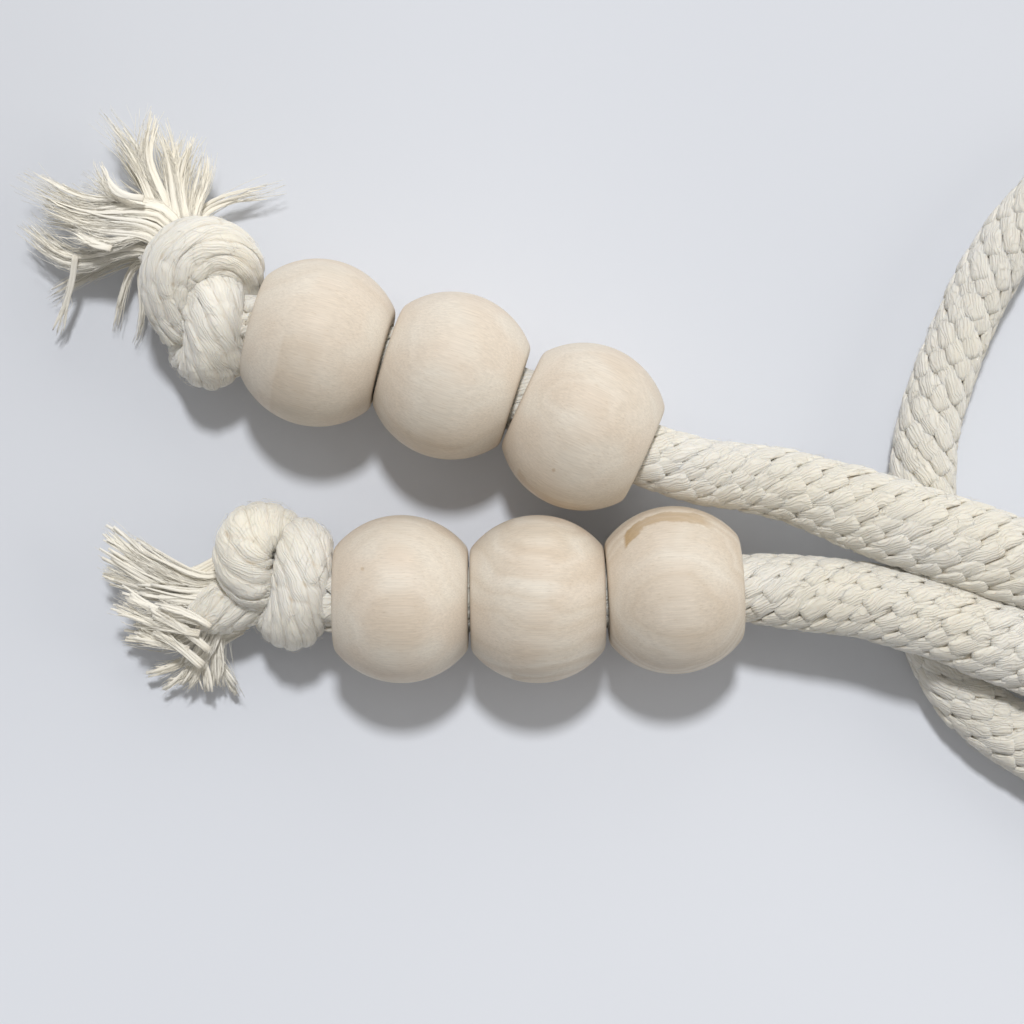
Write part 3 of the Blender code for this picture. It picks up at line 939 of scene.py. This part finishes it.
def wood_material(name, seed, pith, banding, warmth, marks=(), specks=()):
    """Pale turned wood with its grain along the bead's axis. pith is the place of the tree's middle, in mm.

    A mark is a darker band of one growth ring: the side, the heights and the stretch it covers, and its
    strength. A speck is a tiny dark spot on the bead's upper side.
    """
    nodes = Nodes(name)
    metres = nodes.add("ShaderNodeTexCoord").outputs["Object"]
    scaled = nodes.add("ShaderNodeVectorMath", {0: metres, "Scale": 1 / MM}, operation="SCALE")
    x, y, z = nodes.add("ShaderNodeSeparateXYZ", {0: scaled.outputs[0]}).outputs

    def stretched(along, across):
        lengthwise = nodes.plus(nodes.times(x, along), seed)
        return nodes.xyz(lengthwise, nodes.times(y, across), nodes.times(z, across))

    def line(value, scale):
        return nodes.xyz(nodes.times(value, scale), seed)

    def marked(side, low, high, start, end):
        """Where a mark is. Its edges are ragged, and its first end bends down."""
        ragged = nodes.spread(nodes.noise(stretched(0.5, 0.5), detail=3.0), 0.3, 0.7, -0.45, 0.45)
        bend = nodes.times(nodes.math("MINIMUM", nodes.plus(x, 4.3), 0.0), 0.28)
        height = nodes.plus(nodes.plus(z, ragged), bend)
        edges = [
            nodes.spread(height, low - 0.15, low + 0.2),
            nodes.spread(height, high + 0.2, high - 0.15),
            nodes.spread(x, start - 0.2, start + 0.2),
            nodes.spread(x, end + 0.6, end - 1.2),
            nodes.spread(nodes.times(y, side), 0.0, 1.0),
        ]
        return reduce(nodes.times, edges)

    wobble = nodes.spread(nodes.noise(stretched(0.06, 0.10)), 0.3, 0.7, -2.0, 2.0)
    from_pith = nodes.length(nodes.xyz(nodes.less(y, pith[0]), nodes.less(z, pith[1])))
    ring = nodes.plus(from_pith, wobble)
    bands = nodes.spread(nodes.noise(line(ring, 0.45), 1.0, 1.5, 0.55), 0.40, 0.72)
    fine_bands = nodes.noise(line(ring, 2.2), roughness=0.6)
    grain = nodes.noise(stretched(0.10, 4.2), detail=3.0, roughness=0.6)
    ticks = nodes.spread(nodes.noise(stretched(0.9, 6.5), detail=1.0), 0.62, 0.74)
    patches = nodes.spread(nodes.noise(stretched(0.10, 0.12), detail=1.0), 0.41, 0.60)

    tone = nodes.mix(nodes.times(patches, warmth), WOOD_LIGHT, WOOD_PINK)
    tone = nodes.mix(nodes.times(bands, banding), tone, WOOD_DARK)
    tone = nodes.mix(nodes.times(ticks, 0.28), tone, WOOD_DARK)
    for *where, start, end, strength in marks:
        fading = nodes.spread(x, start, start + 3.0, strength, strength * 0.58)
        tone = nodes.mix(nodes.times(marked(*where, start, end), fading), tone, WOOD_OCHRE)
    for speck_x, speck_y in specks:
        away = nodes.length(nodes.xyz(nodes.less(x, speck_x), nodes.less(y, speck_y)))
        spot = nodes.times(nodes.spread(away, 0.36, 0.16), nodes.spread(z, 0.0, 0.5, 0.0, 0.6))
        tone = nodes.mix(spot, tone, WOOD_DARK)
    shade = nodes.spread(grain, 0.3, 0.7, 0.90, 1.05)
    shade = nodes.times(shade, nodes.spread(fine_bands, 0.3, 0.7, 0.98, 1.01))
    turning = nodes.noise(line(x, 5.0))
    height = nodes.plus(nodes.times(grain, 0.7), nodes.times(turning, 0.3))
    values = {"Roughness": 0.55, "Specular IOR Level": 0.3}
    return nodes.finish(nodes.shaded(tone, shade), height, 0.03 * MM, values)


# ---------------------------------------------------------------- knots and tufts


def add_lobe(pile, tube, ribs, lean):
    """The outside of a rope bent hard into a knot. Its columns of vertices follow the ribs."""
    slope = math.radians(lean)
    radius = np.mean(tube.width) / 2
    rib_width = math.tau * radius * math.cos(slope) / ribs
    rows = max(8, round(tube.length / LOBE_STEP))
    reach = np.linspace(0, tube.length, rows + 1)[None, :, None]
    column = np.arange(ribs * RIB_STEPS)[None, None, :]
    rib = column // RIB_STEPS
    across = column % RIB_STEPS / RIB_STEPS
    waver = RIB_WAVER * np.sin(reach / MM * RIB_WAVES + RANDOM.uniform(0, math.tau, ribs)[rib])
    angle = math.tau * column / (ribs * RIB_STEPS) + reach * math.tan(slope) / radius + waver
    run = np.broadcast_to(reach / math.cos(slope), angle.shape)
    place = run / RIB_STITCH + 0.5 * rib + RANDOM.normal(0, RIB_SHIFT, ribs)[rib]
    crest = 1 - np.abs(2 * across - 1) ** RIB_ROUNDNESS
    nub = 1 - np.abs(2 * (place % 1) - 1) ** RIB_NIP
    swell = RANDOM.normal(0, RIB_UNEVEN, ribs)[rib] * MM * crest
    for _ in range(SWELLS):
        turns, waves = RANDOM.integers(*SWELL_TURNS), RANDOM.uniform(*SWELL_WAVES)
        start = RANDOM.uniform(0, math.tau)
        swell = swell + RIB_UNEVEN * MM * np.sin(turns * angle + waves * reach / MM + start)
    lift = swell - RIB_RELIEF * (1 - crest) - RIB_RELIEF * (1 - nub) * (0.4 + 0.6 * crest)
    points = tube.place(np.broadcast_to(reach, angle.shape), angle, lift)
    # across the ribs the pattern runs back to where it started, so that no seam shows
    sideways = np.minimum(rib + across, ribs - rib - across) * rib_width / MM
    sideways = np.broadcast_to(sideways, angle.shape)
    lengthwise = run / MM + RANDOM.uniform(0, PATTERN_SHIFT)
    uvs = np.stack([lengthwise, sideways + RIB_SLANT * run / MM], axis=-1)
    # Painted shade on the ribs' flanks and in their nips.
    pile.add(points, uvs, FLANK_PAINTED_SHADE * (1 - crest) ** 2 + NIP_PAINTED_SHADE * (1 - nub) ** 2)


def add_knot(name, node, lobes, lays, cotton):
    pile = Pile()
    for part, rows in lobes.items():
        placed = [(*plan(x, y, z), thick * MM, thick * MM) for x, y, z, thick in rows]
        tube = Tube(placed, LOBE_STEP, False)
        add_lobe(pile, tube, **LAY[lays[part]])
        add_fuzz(pile, tube, **KNOT_FUZZ)
    knot = pile.finish(name, cotton)
    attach(knot, "root")
    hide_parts(node)


def lock_tube(neck, lock):
    """The curve of a lock, from inside the knot over its root and its bowed middle to its tip."""
    root, tip = plan(*lock[:3]), plan(*lock[3:6])
    bow, width = lock[6:8]
    run = unit(tip - root)
    left = unit(np.cross(UP, run))
    middle = (root + tip) / 2 + left * bow * MM
    rows = [(*root, 0.9), (*middle, 1.0), (*tip, 1.0)]
    if neck["gather"]:
        inner = plan(*neck["inner"]) + (root - plan(*neck["mouth"])) * neck["gather"]
        rows.insert(0, (*inner, 0.7))
    rows = [(x, y, z, share * width * MM, share * width * MM) for x, y, z, share in rows]
    return Tube(rows, LOCK_STEP, False)


def add_fibres(pile, tube, yarns, look):
    """Yarns or fibres that run along a lock, each at its own place in the lock's section."""
    count = max(2, round(yarns * look["share"]))
    share = np.linspace(0, 1, look["steps"])
    ends = tube.length * RANDOM.uniform(*look["ends"], (count, 1))
    reach = share * ends
    where = np.sqrt(RANDOM.uniform(0, 1, (count, 1)))
    around = RANDOM.uniform(0, math.tau, (count, 1)) + share * RANDOM.normal(0, FIBRE_WIND, (count, 1))
    at = np.minimum(reach, tube.length)
    spread = tube.at(tube.width, at) / 2 * where
    spread = spread * (1 + RANDOM.normal(0, FIBRE_SPLAY, (count, 1)) * share**2)
    wave = RANDOM.uniform(*FIBRE_WAVES, (count, 1)) * math.tau
    phase = RANDOM.uniform(0, math.tau, (count, 1))
    swing = look["sway"] * share**1.3 * RANDOM.normal(0, FIBRE_SWING, (count, 1))
    stray = look["sway"] * share**2 * RANDOM.normal(0, FIBRE_STRAY, (2, count, 1))
    sideways = spread * np.cos(around) + swing * np.sin(wave * share + phase) + stray[0]
    upward = spread * np.sin(around) + swing * np.cos(wave * share + 2 * phase) + stray[1]
    upward = upward * LOCK_FLATNESS
    lines = tube.at(tube.centre, at) + (reach - at)[..., None] * tube.at(tube.along, at)
    lines = lines + tube.at(tube.across, at) * sideways[..., None]
    lines = lines + tube.at(tube.over, at) * upward[..., None]
    narrowing, suddenness = look["taper"]
    thickness = look["width"] * RANDOM.uniform(*FIBRE_THICKNESS, (count, 1))
    radii = thickness / 2 * (1 - narrowing * share**suddenness)
    roll = RANDOM.normal(0, FIBRE_ROLL, (count, 1)) + share * RANDOM.normal(0, look["roll"], (count, 1))
    points, uvs = sweep(lines, radii, look["sides"], look["flat"], roll)
    # Painted shade at the root of a lock and in its middle.
    painted_fibre_shade = np.clip(ROOT_PAINTED_SHADE - ROOT_FADE * share, 0, 1) + MIDDLE_PAINTED_SHADE * (1 - where)
    pile.add(points, uvs, np.broadcast_to(painted_fibre_shade[..., None], points.shape[:3]))


def add_tuft(name, neck, locks, crossing, looks, cotton):
    pile = Pile()
    starts = [neck] * len(locks) + [{**neck, "gather": 0}] * len(crossing)
    for lock, start in zip(locks + crossing, starts):
        tube = lock_tube(start, lock)
        for look in looks:
            add_fibres(pile, tube, lock[-1], look)
    tuft = pile.finish(name, cotton)
    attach(tuft, "root")


# ---------------------------------------------------------------- stage


def add_floor():
    nodes = Nodes("floor")
    place = nodes.add("ShaderNodeTexCoord").outputs["Object"]
    cloud = nodes.spread(nodes.noise(place, 7.0, 1.0), 0.35, 0.65)
    tone = nodes.mix(cloud, FLOOR_GREY, FLOOR_PALE)
    # Painted shade round each place, where the light falls off, fading out over its reach.
    for x, y, reach, strength in FLOOR_PAINTED_SHADES:
        away = nodes.add("ShaderNodeVectorMath", {0: place, 1: plan(x, y, 0)}, operation="DISTANCE")
        share = nodes.smooth(away.outputs["Value"], 0.0, reach * MM, strength, 0.0)
        tone = nodes.mix(share, tone, FLOOR_PAINTED_SHADE)
    material = nodes.finish(tone, None, 0.0, {"Roughness": 0.9, "Specular IOR Level": 0.2})
    corners = np.array([(-1, -1, 0), (1, -1, 0), (1, 1, 0), (-1, 1, 0)]) * FLOOR_HALF
    floor = new_object("floor", corners, [[0, 1, 2, 3]], material=material)


def add_light(name, place, size, watts, colour):
    """A soft round light that faces the object."""
    light = bpy.data.lights.new(name, "AREA")
    light.shape = "DISK"
    light.size = size
    light.energy = watts
    light.color = colour
    obj = bpy.data.objects.new(name, light)
    bpy.context.scene.collection.objects.link(obj)
    obj.location = place
    obj.rotation_euler = obj.location.to_track_quat("Z", "Y").to_euler()


def add_studio():
    world = bpy.data.worlds.new("studio")
    bpy.context.scene.world = world
    world.use_nodes = True
    background = world.node_tree.nodes["Background"]
    background.inputs["Color"].default_value = ROOM_COLOUR
    background.inputs["Strength"].default_value = ROOM_STRENGTH
    for name, look in LIGHTS.items():
        add_light(name, *look)
    view = bpy.context.scene.view_settings
    view.view_transform = "Standard"
    view.look = "None"
    view.exposure = 0.0


def add_camera():
    """The camera looks straight down."""
    camera = bpy.data.cameras.new("camera")
    camera.sensor_width = SENSOR_WIDTH
    camera.lens = LENS
    camera.clip_start = 0.01
    obj = bpy.data.objects.new("camera", camera)
    bpy.context.scene.collection.objects.link(obj)
    obj.location = VIEW_POINT + UP * CAMERA_HEIGHT
    bpy.context.scene.camera = obj


add_camera()
add_studio()
add_floor()
add_rope(cotton_material("cotton_rope", **ROPE_COTTON))
for bead_name, wood_look in BEAD_WOOD.items():
    add_bead(bead_name, wood_material(f"wood_{bead_name}", **wood_look))
knot_cotton = cotton_material("cotton_knot", **KNOT_COTTON)
yarn_cotton = cotton_material("cotton_yarn", **YARN_COTTON)
add_knot("knot_a", "tassel_a", KNOT_A, LAYS_A, knot_cotton)
add_knot("knot_b", "tassel_b", KNOT_B, LAYS_B, knot_cotton)
add_tuft("tuft_a", NECK_A, LOCKS_A, CROSSING_A, [RIBBONS_A, HAIRS_A], yarn_cotton)
add_tuft("tuft_b", NECK_B, LOCKS_B, CROSSING_B, [RIBBONS_B, HAIRS_B], yarn_cotton)
